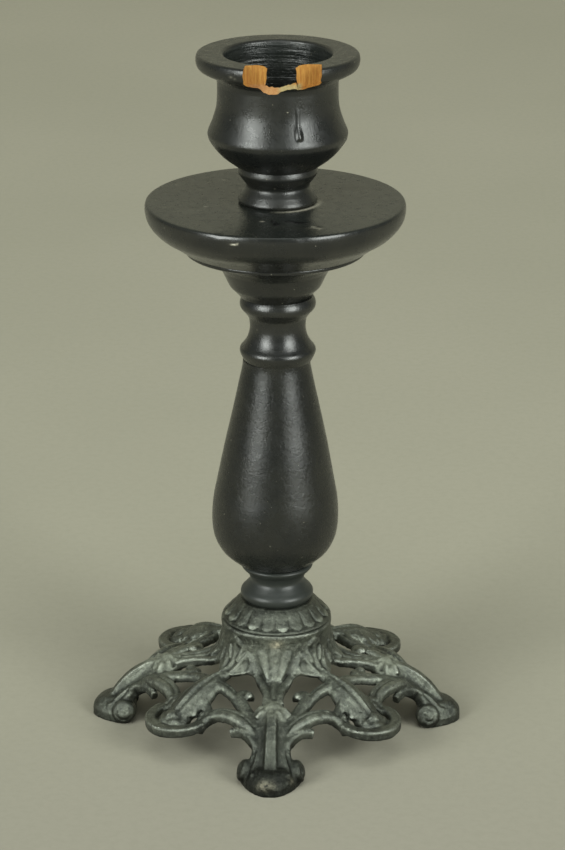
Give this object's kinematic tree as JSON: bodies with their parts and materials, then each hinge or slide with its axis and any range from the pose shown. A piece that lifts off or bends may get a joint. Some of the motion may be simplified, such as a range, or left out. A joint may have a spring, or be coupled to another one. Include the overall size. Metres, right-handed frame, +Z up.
{
  "type": "candlestick",
  "caption": "Turned, black-painted wooden candlestick with a drip pan and an open socket, bolted to a pierced cast-iron foot.",
  "frame": {"origin": "centre of the bounding box at the floor, under the axis", "axes": "+Z up along the axis, -Y towards the front foot and the broken side of the rim, feet on X and Y"},
  "size_m": [0.116, 0.116, 0.214],
  "materials": {
    "painted_wood": "worn satin-gloss black paint over turned wood",
    "iron": "worn dark casting",
    "steel": "dull"
  },
  "bodies": {
    "root": {"candle_cup": "painted_wood", "drip_pan": "painted_wood", "neck_spool": "painted_wood", "baluster": "painted_wood", "foot_ring": "painted_wood", "boss_cap": "iron", "cast_base": "iron", "tie_bolt": "steel", "washer": "steel", "square_nut": "steel"}
  },
  "joints": []
}
